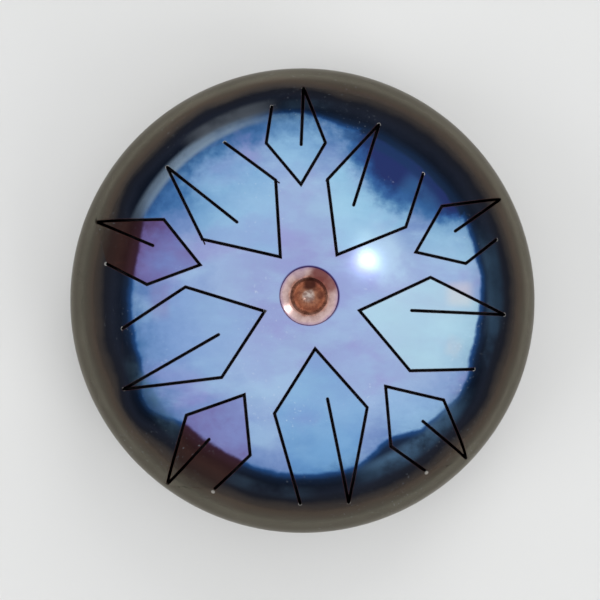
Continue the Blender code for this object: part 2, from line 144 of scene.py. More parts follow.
def smooth(share):
    """0 below 0, 1 above 1 and a soft step between."""
    share = min(max(share, 0.0), 1.0)
    return share * share * (3 - 2 * share)


# ---- shape of the halves ----

def dimple_slope(radius):
    """Rise of the dimple's surface for each metre outwards."""
    bowl = 2 * BOWL_DEPTH * radius / BOWL_RADIUS ** 2
    share = smooth((radius - BOWL_RADIUS + BOWL_BLEND) / (2 * BOWL_BLEND))
    slope = bowl * (1 - share) + DIMPLE_SLOPE * share
    lip = (radius - DIMPLE_RADIUS + DIMPLE_LIP) / DIMPLE_LIP
    if lip > 0:
        edge = DIMPLE_LIP_DROP / DIMPLE_LIP * math.pi / 2 * math.sin(math.pi * lip)
        slope = slope * (1 - lip) - radius / CROWN_RADIUS * lip + edge
    return slope


def dimple_heights():
    """Height of the dimple's surface under its edge, at every step from the centre."""
    steps = round(DIMPLE_RADIUS / DIMPLE_STEP)
    heights = [0.0]
    for step in range(steps, 0, -1):
        heights.append(heights[-1] - dimple_slope((step - 0.5) * DIMPLE_STEP) * DIMPLE_STEP)
    return heights[::-1]


class Half:
    """One spun half of the drum. Heights are over its seam edge, away from the seam."""

    def __init__(self, node, side, dimple):
        low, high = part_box(node)
        self.side = side
        self.edge = low.z if side > 0 else high.z
        self.rim = high.x
        self.knuckle_centre = self.rim - KNUCKLE_RADIUS
        reach = CROWN_RADIUS - KNUCKLE_RADIUS
        self.junction_tilt = math.acos(self.knuckle_centre / reach)
        self.crown_centre = LAND - math.sqrt(reach ** 2 - self.knuckle_centre ** 2)
        self.dimple = dimple_heights() if dimple else None

    def crown(self, radius, inset=0.0):
        return self.crown_centre + math.sqrt((CROWN_RADIUS - inset) ** 2 - radius ** 2)

    def in_dimple(self, radius):
        return self.dimple is not None and radius < DIMPLE_RADIUS

    def dimple_height(self, radius):
        place = radius / DIMPLE_STEP
        step = min(int(place), len(self.dimple) - 2)
        share = place - step
        drop = self.dimple[step] * (1 - share) + self.dimple[step + 1] * share
        return self.crown(DIMPLE_RADIUS) + drop

    def tilt(self, radius, height):
        """Angle over the level at which a point is seen from the knuckle's centre."""
        return math.atan2(height - LAND, radius - self.knuckle_centre)

    def split(self, place):
        radius = math.hypot(place.x, place.y)
        return radius, (place.z - self.edge) * self.side

    def on_surface(self, place, inset):
        """The point of the outer surface, or of one that lies inset inside it, nearest a place."""
        radius, height = self.split(place)
        tilt = self.tilt(radius, height)
        new_radius = radius
        if height <= LAND:
            new_radius = self.rim - inset
        elif tilt < self.junction_tilt:
            new_radius = self.knuckle_centre + (KNUCKLE_RADIUS - inset) * math.cos(tilt)
            height = LAND + (KNUCKLE_RADIUS - inset) * math.sin(tilt)
        elif self.in_dimple(radius):
            height = self.dimple_height(radius) - inset
        else:
            height = self.crown(radius, inset)
        scale = new_radius / radius if radius > 0 else 1.0
        return Vector((place.x * scale, place.y * scale, self.edge + self.side * height))

    def normal(self, place):
        """The outward normal of the surface at a place on it."""
        radius, height = self.split(place)
        if radius < WELD:
            return Vector((0.0, 0.0, self.side))
        tilt = self.tilt(radius, height)
        if height <= LAND:
            lean, rise = 1.0, 0.0
        elif tilt < self.junction_tilt:
            lean, rise = math.cos(tilt), math.sin(tilt)
        elif self.in_dimple(radius):
            lean, rise = -dimple_slope(radius), 1.0
        else:
            lean = radius / CROWN_RADIUS
            rise = math.sqrt(1 - lean ** 2)
        return Vector((place.x / radius * lean, place.y / radius * lean,
                       self.side * rise)).normalized()

    def levels(self):
        """Heights at which the fine surface gets a ring of its own."""
        tilts = [self.junction_tilt * step / KNUCKLE_LEVELS for step in range(KNUCKLE_LEVELS + 1)]
        heights = [LAND + KNUCKLE_RADIUS * math.sin(tilt) for tilt in tilts]
        junction = self.knuckle_centre + KNUCKLE_RADIUS * math.cos(self.junction_tilt)
        for step in range(1, CROWN_LEVELS):
            heights.append(self.crown(junction * step / CROWN_LEVELS))
        if self.dimple:
            for step in range(DIMPLE_LEVELS):
                heights.append(self.dimple_height(DIMPLE_RADIUS * (step + 0.5) / DIMPLE_LEVELS))
        return [self.edge + self.side * height for height in sorted(heights)]


UPPER = Half("upper_shell", 1, dimple=True)
LOWER = Half("lower_shell", -1, dimple=False)


# ---- fine surfaces made from the model's own solids ----

def solid_of(node):
    """A node's solid as an editable mesh, its flat facets whole again."""
    bm = bmesh.new()
    bm.from_mesh(frame["nodes"][node].data)
    bmesh.ops.remove_doubles(bm, verts=bm.verts, dist=WELD)
    bmesh.ops.dissolve_limit(bm, angle_limit=FLAT, verts=bm.verts, edges=bm.edges)
    return bm


def slice_mesh(bm, place, normal):
    bmesh.ops.bisect_plane(bm, geom=bm.verts[:] + bm.edges[:] + bm.faces[:], dist=WELD,
                           plane_co=place, plane_no=normal)


def slice_finely(bm, half):
    """New edges along SECTORS meridians and along the half's levels."""
    for step in range(SECTORS // 2):
        angle = 2 * math.pi * step / SECTORS
        slice_mesh(bm, (0, 0, 0), (-math.sin(angle), math.cos(angle), 0))
    low = min(vertex.co.z for vertex in bm.verts)
    high = max(vertex.co.z for vertex in bm.verts)
    for level in half.levels():
        if low < level < high:
            slice_mesh(bm, (0, 0, level), (0, 0, 1))


def face_side(face, half):
    """1 for a face of the outer surface, -1 for one of the inner, 0 for a cut edge."""
    along = face.normal.dot(half.normal(face.calc_center_median()))
    if abs(along) < FACING:
        return 0
    return 1 if along > 0 else -1


def round_off(bm, half):
    """Lays the facets of both surfaces on the true curve. Gives each face's side."""
    bm.normal_update()
    sides = [face_side(face, half) for face in bm.faces]
    inset = {}
    for face, side in zip(bm.faces, sides):
        if side:
            for vertex in face.verts:
                inset[vertex] = 0.0 if side > 0 else SHEET
    for vertex, depth in inset.items():
        vertex.co = half.on_surface(vertex.co, depth)
    return sides


def finish_surface(name, bm, half, materials):
    """The object of a rounded mesh, shaded by the true normals of its surface."""
    sides = round_off(bm, half)
    bm.normal_update()
    normals = []
    for face, side in zip(bm.faces, sides):
        face.smooth = True
        face.material_index = 0 if side > 0 else 1
        for loop in face.loops:
            normals.append(half.normal(loop.vert.co) * side if side else face.normal.copy())
    mesh = bpy.data.meshes.new(name)
    bm.to_mesh(mesh)
    bm.free()
    for material in materials:
        mesh.materials.append(material)
    mesh.normals_split_custom_set(normals)
    return add_object(name, mesh)


def add_object(name, mesh):
    item = bpy.data.objects.new(name, mesh)
    bpy.context.scene.collection.objects.link(item)
    return item


# ---- roots of the tongues ----

class Root:
    """The line across a tongue's stem about which the tongue bends."""

    def __init__(self, joint):
        self.place = Vector(joint["pos_m"])
        self.along = Vector(joint["axis"]).to_2d().normalized()
        self.outward = Vector((-self.along.y, self.along.x))
        low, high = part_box(joint["child"])
        middle = ((low + high) / 2).to_2d()
        if self.outward.dot(self.place.to_2d() - middle) < 0:
            self.outward.negate()
        self.half_width = 0.0

    def beyond(self, place):
        """How far a place lies outside the line, in the drum's plan."""
        return self.outward.dot(place.to_2d() - self.place.to_2d())

    def aside(self, place):
        return abs(self.along.dot(place.to_2d() - self.place.to_2d()))

    def close_gap(self, bm):
        """Moves the tongue's cut root out to the far side of the parting line."""
        for vertex in bm.verts:
            if self.beyond(vertex.co) > -ROOT_BAND:
                self.half_width = max(self.half_width, self.aside(vertex.co))
                vertex.co += self.outward.to_3d() * ROOT_GAP

    def holds(self, place):
        return abs(self.beyond(place)) < 2 * ROOT_BAND and self.aside(place) < self.half_width

    def slot_ends(self):
        """Where the slot's two outer ends lie on the drum's outer face."""
        reach = self.half_width + SLOT_HALF
        ends = [self.place + self.along.to_3d() * reach * side for side in (1, -1)]
        return [UPPER.on_surface(end, 0.0) for end in ends]


def mark_free_edges(item, roots):
    """free_edge is 0 on a root line, where the sheet runs on, and 1 elsewhere."""
    values = [0.0 if any(root.holds(vertex.co) for root in roots) else 1.0
              for vertex in item.data.vertices]
    attribute = item.data.attributes.new("free_edge", "FLOAT", "POINT")
    attribute.data.foreach_set("value", values)


# ---- turned pieces ----

def eased(corners):
    """A closed outline with rounded corners. A corner is (radius, height, length cut off)."""
    points = []
    for index, (radius, height, cut) in enumerate(corners):
        corner = Vector((radius, height))
        if cut == 0:
            points.append(corner)
            continue
        before = Vector(corners[index - 1][:2]) - corner
        after = Vector(corners[(index + 1) % len(corners)][:2]) - corner
        start = corner + before.normalized() * cut
        end = corner + after.normalized() * cut
        for step in range(EASE_STEPS + 1):
            share = step / EASE_STEPS
            points.append(start * (1 - share) ** 2 + corner * 2 * share * (1 - share)
                          + end * share ** 2)
    return points


def turned(outline, steps, shape=None, joint=0.0):
    """A closed outline (radius, height) turned about Z, whole or with an open joint.

    shape gives the radius at which a point lies for an angle, where that isn't the same all
    the way round.
    """
    bm = bmesh.new()
    sections = steps + 1 if joint else steps
    rings = []
    for point in outline:
        if point.x == 0:
            rings.append([bm.verts.new((0, 0, point.y))] * sections)
            continue
        ring = []
        for step in range(sections):
            angle = joint / 2 + (2 * math.pi - joint) * step / steps
            radius = shape(point.x, angle) if shape else point.x
            ring.append(bm.verts.new((radius * math.cos(angle), radius * math.sin(angle), point.y)))
        rings.append(ring)
    for here, there in zip(rings, rings[1:] + rings[:1]):
        for step in range(steps):
            after = (step + 1) % sections
            corners = dict.fromkeys((here[step], here[after], there[after], there[step]))
            if len(corners) > 2:
                bm.faces.new(corners)
    if joint:
        bm.faces.new([ring[0] for ring in rings])
        bm.faces.new([ring[-1] for ring in rings])
    bmesh.ops.recalc_face_normals(bm, faces=bm.faces)
    return bm


def dress(node, bm, material):
    """Puts a fine piece in the place of a node of the drum's body."""
    name = f"{node}_fine"
    mesh = bpy.data.meshes.new(name)
    bm.to_mesh(mesh)
    bm.free()
    mesh.materials.append(material)
    mesh.shade_smooth()
    mesh.set_sharp_from_angle(angle=SHARP_ANGLE)
    piece = add_object(name, mesh)
    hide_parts(node)
    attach(piece, "drum_body")


# ---- materials ----

def colour(red, green, blue):
    """A screen colour, 0 to 255, as the light values that shaders use."""
    def light(value):
        share = value / 255
        return share / 12.92 if share <= 0.04045 else ((share + 0.055) / 1.055) ** 2.4
    return light(red), light(green), light(blue), 1.0


class Paint:
    """A material under construction, with short names for the nodes it is made of."""

    def __init__(self, name, metallic, roughness):
        self.material = bpy.data.materials.new(name)
        self.material.use_nodes = True
        self.tree = self.material.node_tree
        self.shader = self.tree.nodes["Principled BSDF"]
        self.shader.inputs["Metallic"].default_value = metallic
        self.shader.inputs["Roughness"].default_value = roughness
        self.place = self.node("TexCoord").outputs["Object"]

    def node(self, kind, inputs=None, **settings):
        made = self.tree.nodes.new("ShaderNode" + kind)
        for key, value in settings.items():
            setattr(made, key, value)
        for key, value in (inputs or {}).items():
            self.feed(made.inputs[key], value)
        return made

    def feed(self, socket, value):
        if isinstance(value, bpy.types.NodeSocket):
            self.tree.links.new(value, socket)
        else:
            socket.default_value = value

    def math(self, operation, first, second=0.0):
        return self.node("Math", {0: first, 1: second}, operation=operation).outputs[0]

    def vector(self, operation, first, second=(0, 0, 0)):
        made = self.node("VectorMath", {0: first, 1: second}, operation=operation)
        return made.outputs["Value" if operation in ("LENGTH", "DISTANCE", "DOT_PRODUCT") else 0]

    def stretch(self, factors, turn=(0, 0, 0)):
        """The object's coordinates turned and stretched, for grain that runs one way."""
        made = self.node("Mapping", {"Vector": self.place, "Rotation": turn, "Scale": factors})
        return made.outputs[0]

    def noise(self, scale, detail=2.0, roughness=0.5, place=None, output="Fac"):
        made = self.node("TexNoise", {"Vector": place or self.place, "Scale": scale,
                                      "Detail": detail, "Roughness": roughness})
        return made.outputs[output]

    def span(self, value, start, end, low=0.0, high=1.0, soft=True):
        """low at start, high at end, held beyond them."""
        made = self.node("MapRange", {"Value": value, "From Min": start, "From Max": end,
                                      "To Min": low, "To Max": high},
                         interpolation_type="SMOOTHSTEP" if soft else "LINEAR")
        return made.outputs[0]

    def ramp(self, value, stops):
        made = self.node("ValToRGB", {"Fac": value})
        elements = made.color_ramp.elements
        while len(elements) < len(stops):
            elements.new(1.0)
        for element, (position, shade) in zip(elements, stops):
            element.position = position
            element.color = shade
        return made.outputs[0]

    def mix(self, share, first, second, blend="MIX"):
        made = self.node("Mix", {0: share, 6: first, 7: second}, data_type="RGBA",
                         blend_type=blend)
        return made.outputs[2]

    def bump(self, height, strength, distance, normal=None):
        inputs = {"Height": height, "Strength": strength, "Distance": distance}
        if normal:
            inputs["Normal"] = normal
        return self.node("Bump", inputs).outputs[0]

    def edges(self, radius, start, end, strength=1.0):
        """strength on a sharp edge, and 0 where the surface runs on flat."""
        rounded = self.node("Bevel", {"Radius": radius}, samples=4).outputs[0]
        true = self.node("NewGeometry").outputs["Normal"]
        return self.span(self.vector("DOT_PRODUCT", rounded, true), start, end, strength, 0.0)

    def set(self, **values):
        for key, value in values.items():
            self.feed(self.shader.inputs[key.replace("_", " ")], value)


# Heat colours of the crown. The first number is the share of the rim's radius at which a
# colour lies where the heat spread evenly; a hotter place has the colour of a larger share.
CROWN_COLOURS = (
    (0.00, colour(142, 154, 200)),
    (0.22, colour(146, 166, 206)),
    (0.42, colour(150, 181, 213)),
    (0.56, colour(130, 164, 202)),
    (0.66, colour(106, 144, 188)),
    (0.75, colour(82, 124, 172)),
    (0.83, colour(62, 108, 158)),
    (0.90, colour(48, 84, 138)),
    (0.95, colour(38, 62, 112)),
    (1.00, colour(38, 50, 98)),
)
# Colours of the rolled edge, from where they start in a crisp line to the seam. They are painted
# reflection: a dark band where dark surroundings are reflected, then the grey-beige of the
# reflected floor towards the seam.
EDGE_REFLECTION_COLOURS = (
    (0.690, colour(60, 112, 172)),
    (0.706, colour(34, 68, 116)),
    (0.725, colour(27, 42, 66)),
    (0.750, colour(33, 41, 57)),
    (0.785, colour(52, 58, 74)),
    (0.818, colour(54, 56, 66)),
    (0.840, colour(94, 87, 84)),
    (0.870, colour(112, 99, 89)),
    (0.915, colour(112, 108, 97)),
    (0.950, colour(89, 85, 77)),
    (1.000, colour(84, 80, 72)),
)
EDGE_START = 0.690
EDGE_WIDTH = 0.016
LOWER_CROWN_COLOURS = (
    (0.00, colour(104, 108, 134)),
    (0.40, colour(92, 104, 138)),
    (0.66, colour(74, 90, 132)),
    (1.00, colour(48, 62, 100)),
)
LOWER_EDGE_COLOURS = (
    (0.690, colour(62, 80, 124)),
    (0.780, colour(54, 64, 98)),
    (0.850, colour(78, 70, 78)),
    (0.910, colour(100, 88, 80)),
    (0.960, colour(94, 88, 79)),
    (1.000, colour(82, 77, 70)),
)
# Where the heat spread unevenly: bearing in degrees, distance from the axis, radius of the
# patch, and how many shares of the rim's radius hotter its middle is. Two are painted light:
# at bearing 178 a painted shade on the drum's left side, and at bearing 30 a painted glow round
# the sun's highlight.
HEAT_AND_PAINTED_LIGHT_PATCHES = (
    (53, 0.166, 0.118, 0.38),
    (34, 0.178, 0.046, 0.20),
    (142, 0.165, 0.080, 0.17),
    (114, 0.172, 0.060, 0.14),
    (88, 0.165, 0.050, 0.07),
    # painted shade: darkens the drum's left side
    (178, 0.150, 0.100, 0.11),
    (-150, 0.160, 0.080, 0.08),
    (-62, 0.168, 0.062, 0.12),
    (12, 0.150, 0.080, -0.12),
    (-28, 0.140, 0.080, -0.10),
    # painted highlight: a pale glow round the sun's highlight
    (30, 0.085, 0.050, -0.06),
    (90, 0.055, 0.060, 0.14),
)
# Where the painted reflected band of the rolled edge starts further out (a shift below 0) or further
# in.
EDGE_PATCHES = (
    (98, 0.190, 0.075, -0.050),
    (122, 0.190, 0.080, -0.050),
    (146, 0.190, 0.070, -0.055),
    (-146, 0.195, 0.050, -0.075),
    (-32, 0.190, 0.050, -0.025),
    (-60, 0.168, 0.045, 0.055),
)
# Arcs of colour: middle bearing and half width in degrees, share of the rim's radius and half
# width of the arc in it, how strong, and the colour. Many are painted light: lighter streaks of
# reflection in the dark band, and a pale glow round the sun's highlight.
TINT_AND_REFLECTION_ARCS = (
    # painted reflection: lighter streaks in the dark reflected band
    (130, 33, 0.752, 0.034, 0.95, colour(146, 168, 190)),
    (114, 17, 0.792, 0.036, 0.80, colour(124, 132, 142)),
    (4, 21, 0.765, 0.050, 0.75, colour(70, 98, 124)),
    (1, 6, 0.610, 0.080, 0.50, colour(208, 206, 204)),
    (-19, 5, 0.620, 0.050, 0.35, colour(204, 202, 204)),
    # painted highlight: a pale glow round the sun's highlight
    (28, 30, 0.350, 0.120, 0.50, colour(184, 216, 234)),
    (42, 11, 0.600, 0.080, 0.70, colour(56, 100, 148)),
    (58, 24, 0.676, 0.034, 0.80, colour(32, 54, 92)),
    (181, 10, 0.590, 0.055, 0.55, colour(130, 124, 172)),
    # painted reflection: lighter streaks in the dark reflected band
    (-52, 26, 0.745, 0.055, 0.85, colour(84, 118, 150)),
    (-14, 12, 0.768, 0.030, 0.45, colour(84, 118, 150)),
    (-147, 16, 0.752, 0.045, 0.80, colour(98, 130, 152)),
    (-102, 16, 0.785, 0.035, 0.45, colour(84, 110, 134)),
    (88, 12, 0.785, 0.030, 0.40, colour(84, 110, 134)),
)
# Heat colours of the two violet tongues, on the crown and on the rolled edge; those of the rolled
# edge are painted reflection, the dark reflected band with a reddish cast.
VIOLET_CROWN_COLOURS = (
    (0.00, colour(130, 152, 200)),
    (0.50, colour(120, 146, 196)),
    (0.60, colour(106, 126, 178)),
    (0.68, colour(98, 102, 158)),
    (0.78, colour(92, 76, 124)),
    (0.88, colour(74, 50, 74)),
    (1.00, colour(60, 38, 48)),
)
VIOLET_EDGE_REFLECTION_COLOURS = (
    (0.690, colour(70, 54, 92)),
    (0.710, colour(54, 34, 46)),
    (0.750, colour(62, 40, 42)),
    (0.785, colour(86, 60, 56)),
    (0.825, colour(84, 64, 60)),
    (0.850, colour(98, 84, 76)),
    (0.915, colour(112, 108, 97)),
    (1.000, colour(84, 80, 72)),
)
# Marks of the dimple: centre, radius, share and colour. The first two are painted reflection,
# the red-brown of a dark figure reflected in the upper right of the ring.
DIMPLE_MARKS_AND_REFLECTIONS = (
    # painted reflection: a dark figure reflected in the ring's upper right
    ((0.0120, 0.0220), 0.0165, 0.90, colour(104, 50, 48)),
    ((0.0215, 0.0110), 0.0110, 0.80, colour(116, 62, 56)),
    ((0.0015, 0.0120), 0.0095, 0.90, colour(58, 30, 26)),
    ((0.0120, 0.0010), 0.0060, 0.60, colour(74, 40, 34)),
    ((-0.0110, 0.0250), 0.0110, 0.45, colour(150, 126, 146)),
)
LAVENDER = colour(144, 126, 190)
# What the steel's reflection is tinted by when it is seen almost along its surface.
STEEL_GLANCE = colour(226, 223, 216)
FLECK = colour(206, 218, 228)
CUT_EDGE = colour(92, 54, 48)
WORN_WIDTH = 1.2 * MM
SLOT_END_GLINT = colour(236, 232, 224)


def patch_shift(paint, place, patch):
    """How many shares of the rim's radius hotter a place is because of a patch; for a patch of
    painted light, how much lighter or darker it is painted.
    """
    bearing, distance, radius, shift = patch
    angle = math.radians(bearing)
    centre = (distance * math.cos(angle), distance * math.sin(angle), 0)
    flat = paint.vector("MULTIPLY", place, (1, 1, 0))
    return paint.span(paint.vector("DISTANCE", flat, centre), 0.0, radius, shift, 0.0)


def arc_share(paint, place, arc):
    """How much of an arc's colour a place has."""
    bearing, spread, share, breadth, strength, _ = arc
    angle = math.radians(bearing)
    toward = paint.vector("NORMALIZE", paint.vector("MULTIPLY", place, (1, 1, 0)))
    along = paint.vector("DOT_PRODUCT", toward, (math.cos(angle), math.sin(angle), 0))
    radius = paint.vector("LENGTH", paint.vector("MULTIPLY", place, (1, 1, 0)))
    off = paint.math("SUBTRACT", paint.math("DIVIDE", radius, UPPER.rim), share)
    within = paint.span(paint.math("ABSOLUTE", off), breadth * 0.3, breadth, strength, 0.0)
    return paint.math("MULTIPLY", within, paint.span(along, math.cos(math.radians(spread)), 1.0))


def uneven(paint, position, place, patches):
    """A position with the shifts of all the patches."""
    for patch in patches:
        position = paint.math("ADD", position, patch_shift(paint, place, patch))
    return position


def heat_and_reflected_band_positions(paint, patches, edge_patches):
    """How hot a point became, for the colours of the crown, and how far out it lies, for the painted
    reflection on the rolled edge.
    """
    drift = paint.vector("SUBTRACT", paint.noise(5.0, 3.0, output="Color"), (0.5, 0.5, 0.5))
    drift = paint.vector("MULTIPLY", drift, (0.030, 0.030, 0.0))
    flat = paint.vector("MULTIPLY", paint.place, (1, 1, 0))
    wandering = paint.vector("ADD", flat, drift)
    ragged = paint.span(paint.noise(30.0, 5.0, 0.62), 0.3, 0.7, -0.008, 0.008, soft=False)
    calm = paint.vector("ADD", flat, paint.vector("MULTIPLY", drift, (0.35, 0.35, 0.0)))
    position = paint.math("DIVIDE", paint.vector("LENGTH", calm), UPPER.rim)
    edge = paint.math("ADD", uneven(paint, position, calm, edge_patches), ragged)
    torn = paint.vector("SUBTRACT", paint.noise(34.0, 6.0, 0.68, output="Color"), (0.5, 0.5, 0.5))
    torn = paint.vector("ADD", wandering, paint.vector("MULTIPLY", torn, (0.030, 0.030, 0.0)))
    mottled = paint.span(paint.noise(9.0, 6.0, 0.6), 0.25, 0.75, -0.13, 0.13, soft=False)
    speckled = paint.span(paint.noise(120.0, 3.0, 0.6), 0.3, 0.7, -0.025, 0.025, soft=False)
    crown = paint.math("ADD", uneven(paint, position, torn, patches), mottled)
    return paint.math("ADD", crown, speckled), edge


def edge_wear(paint):
    """1 on the rim of a slot, fading over a millimetre or so, and 0 on a root line."""
    free = paint.node("Attribute", attribute_name="free_edge").outputs["Fac"]
    return paint.math("MULTIPLY", paint.edges(WORN_WIDTH, 0.80, 0.995), free)


def slot_end_glints(paint, places):
    """1 at a painted glint round the outer end of a slot, 0 elsewhere."""
    nearest = paint.vector("DISTANCE", paint.place, places[0])
    for place in places[1:]:
        nearest = paint.math("MINIMUM", nearest, paint.vector("DISTANCE", paint.place, place))
    return paint.span(nearest, SLOT_HALF + 0.2 * MM, SLOT_HALF + 0.8 * MM, 0.8, 0.0)


def surface_grain(paint):
    """Spinning marks round the axis, sanding scratches and cloudy polish, each 0 to 1."""
    flat = paint.vector("MULTIPLY", paint.place, (1, 1, 0))
    radius = paint.vector("LENGTH", flat)
    rings = paint.node("CombineXYZ", {"X": radius, "Y": paint.noise(2.0)}).outputs[0]
    spun = paint.noise(900.0, 3.0, 0.6, place=rings)
    across = paint.noise(60.0, 4.0, 0.65, place=paint.stretch((1.5, 40, 1.5), (0, 0, 0.5)))
    along = paint.noise(60.0, 4.0, 0.65, place=paint.stretch((34, 1.2, 1.5), (0, 0, 0.2)))
    scratches = paint.math("MULTIPLY", paint.span(across, 0.56, 0.72), paint.span(along, 0.3, 0.6))
    cloudy = paint.noise(13.0, 4.0, 0.55)
    return spun, scratches, cloudy


def dimple_colour(paint, base):
    """Straw and copper colours of the dimple over the crown's own, with painted reflection: a pale
    middle, a lighter side to the bowl and red-brown in the upper right of the ring.
    """
    wobble = paint.vector("SUBTRACT", paint.noise(120.0, 3.0, output="Color"), (0.5, 0.5, 0.5))
    wobble = paint.vector("MULTIPLY", wobble, (0.0045, 0.0045, 0.0))
    flat = paint.vector("MULTIPLY", paint.place, (1, 1, 0))
    radius = paint.vector("LENGTH", paint.vector("ADD", flat, wobble))
    true_radius = paint.vector("LENGTH", flat)
    # Painted reflection: the pale middle is the reflected sky, and the bowl's side is painted lighter
    # to make up for the darker studio it reflects.
    shades = paint.ramp(paint.math("DIVIDE", radius, DIMPLE_RADIUS), (
        (0.00, colour(188, 176, 170)),
        (0.15, colour(176, 156, 146)),
        (0.24, colour(150, 102, 80)),
        (0.44, colour(142, 84, 60)),
        (0.56, colour(188, 118, 92)),
        (0.65, colour(186, 140, 126)),
        (0.71, colour(182, 154, 148)),
        (0.86, colour(196, 170, 168)),
        (0.95, colour(176, 150, 166)),
        (1.00, colour(110, 90, 150)),
    ))
    blotch = paint.span(paint.noise(190.0, 5.0, 0.65), 0.40, 0.62)
    in_bowl = paint.span(radius, 0.017, 0.024, 0.65, 0.20)
    shades = paint.mix(paint.math("MULTIPLY", blotch, in_bowl), shades, colour(96, 52, 42))
    for (x, y), reach, share, dark in DIMPLE_MARKS_AND_REFLECTIONS:
        away = paint.vector("DISTANCE", paint.vector("ADD", flat, wobble), (x, y, 0))
        shades = paint.mix(paint.span(away, reach * 0.35, reach, share, 0.0), shades, dark)
    lean = paint.vector("DOT_PRODUCT", flat, (0.55, 0.83, 0))
    line_share = paint.span(lean, -0.020, 0.018, 0.05, 0.95)
    rim_line = paint.span(paint.math("ABSOLUTE", paint.math("SUBTRACT", true_radius, 0.0297)),
                          0.0002, 0.0016)
    rim_line = paint.math("MULTIPLY", paint.math("SUBTRACT", 1.0, rim_line), line_share)
    inside = paint.span(true_radius, 0.0296, 0.0302, 1.0, 0.0)
    return paint.mix(rim_line, paint.mix(inside, base, shades), colour(64, 44, 100))


def tempered_steel(name, finish, tint, tint_share, slot_ends=(), dimple=False):
    """Polished steel with heat colours, a painted reflection over the rolled edge and, where slot
    ends are given, painted glints at the slots' outer ends. The tint is the piece's own, on the crown
    alone.
    """
    paint = Paint(name, metallic=1.0, roughness=0.13)
    hot, position = heat_and_reflected_band_positions(paint, finish.patches, finish.edge_patches)
    base = paint.ramp(hot, finish.crown_colours)
    shallow = paint.span(hot, 0.70, 0.86, finish.clouding, 0.0)
    streaks = paint.noise(12.0, 4.0, 0.55, place=paint.stretch((1, 2.2, 1), (0, 0, 0.8)))
    cool = paint.math("MULTIPLY", paint.span(streaks, 0.42, 0.66), shallow)
    base = paint.mix(cool, base, finish.cool)
    warm_tone = paint.noise(10.0, 4.0, 0.55, place=paint.stretch((1, 1.6, 1), (0, 0, 2)))
    warm = paint.math("MULTIPLY", paint.span(warm_tone, 0.48, 0.68), shallow)
    base = paint.mix(warm, base, finish.warm)
    own = paint.span(paint.noise(8.0, 3.0, 0.5), 0.25, 0.75, 0.6, 1.0)
    own = paint.math("MULTIPLY", own, paint.span(hot, 0.68, 0.88, tint_share, 0.0))
    base = paint.mix(own, base, tint)
    # The rolled edge takes its painted reflection: the dark band of the surroundings, the grey-beige
    # floor by the seam.
    at_edge = paint.span(position, EDGE_START, EDGE_START + EDGE_WIDTH)
    no_fringe = paint.span(hot, 0.84, 0.94, EDGE_START, 0.725)
    band = paint.ramp(paint.math("MAXIMUM", position, no_fringe), finish.edge_colours)
    base = paint.mix(at_edge, base, band)
    smeared = paint.span(paint.noise(15.0, 5.0, 0.6), 0.32, 0.56)
    for arc in finish.arcs:
        own = paint.math("MULTIPLY", arc_share(paint, paint.place, arc), smeared)
        base = paint.mix(own, base, arc[-1])
    if dimple:
        base = dimple_colour(paint, base)
    spun, scratches, cloudy = surface_grain(paint)
    shade = paint.span(cloudy, 0.25, 0.75, 0.92, 1.02, soft=False)
    shade = paint.math("ADD", shade, paint.math("MULTIPLY", scratches, 0.10))
    base = paint.mix(1.0, base, paint.node("CombineColor", {0: shade, 1: shade, 2: shade}).outputs[0],
                     blend="MULTIPLY")
    flecks = paint.span(paint.noise(380.0, 2.0, 0.5), 0.66, 0.73)
    strewn = paint.span(paint.noise(11.0, 2.0, 0.5), 0.50, 0.66, 0.0, 0.32)
    base = paint.mix(paint.math("MULTIPLY", flecks, strewn), base, FLECK)
    wear = edge_wear(paint)
    base = paint.mix(paint.math("MULTIPLY", wear, 0.85), base, CUT_EDGE)
    if slot_ends:
        # painted highlights: bright glints at the outer ends of the slots
        base = paint.mix(slot_end_glints(paint, slot_ends), base, SLOT_END_GLINT)
    roughness = paint.span(cloudy, 0.3, 0.7, 0.10, 0.15)
    roughness = paint.math("ADD", roughness, paint.math("MULTIPLY", scratches, 0.07))
    roughness = paint.math("ADD", roughness, paint.math("MULTIPLY", wear, 0.15))
    satin = paint.span(position, 0.80, 0.95, 0.0, 0.16)
    roughness = paint.math("ADD", roughness, satin)
    wavy = paint.bump(paint.noise(16.0, 2.0), 0.10, 0.6 * MM)
    ringed = paint.bump(spun, 0.04, 0.02 * MM, wavy)
    normal = paint.bump(scratches, 0.08, 0.02 * MM, ringed)
    paint.set(Base_Color=base, Roughness=roughness, Normal=normal, Specular_Tint=STEEL_GLANCE)
    return paint.material


def bare_steel(name, light, dark, roughness):
    """Mill-finish steel, or with other shades a cut or inner face of the tinted sheet."""
    paint = Paint(name, metallic=1.0, roughness=roughness)
    blotch = paint.span(paint.noise(24.0, 5.0, 0.6), 0.35, 0.65)
    grain = paint.noise(300.0, 3.0, 0.6)
    base = paint.mix(blotch, light, dark)
    rough = paint.span(grain, 0.3, 0.7, roughness - 0.05, roughness + 0.10)
    paint.set(Base_Color=base, Roughness=rough, Normal=paint.bump(grain, 0.25, 0.05 * MM))
    return paint.material


def weld_steel():
    """The dressed weld: straw and grey in turns along its ripples, with soot in the hollows."""
    paint = Paint("dressed_weld", metallic=1.0, roughness=0.38)
    drift = paint.span(paint.noise(14.0, 3.0, 0.6), 0.35, 0.65)
    base = paint.mix(drift, colour(122, 112, 96), colour(96, 98, 106))
    soot = paint.span(paint.noise(420.0, 4.0, 0.7), 0.50, 0.75, 0.0, 0.7)
    base = paint.mix(soot, base, colour(52, 44, 42))
    grain = paint.noise(900.0, 3.0, 0.6)
    rough = paint.span(grain, 0.3, 0.7, 0.30, 0.48)
    paint.set(Base_Color=base, Roughness=rough, Normal=paint.bump(grain, 0.3, 0.06 * MM))
    return paint.material


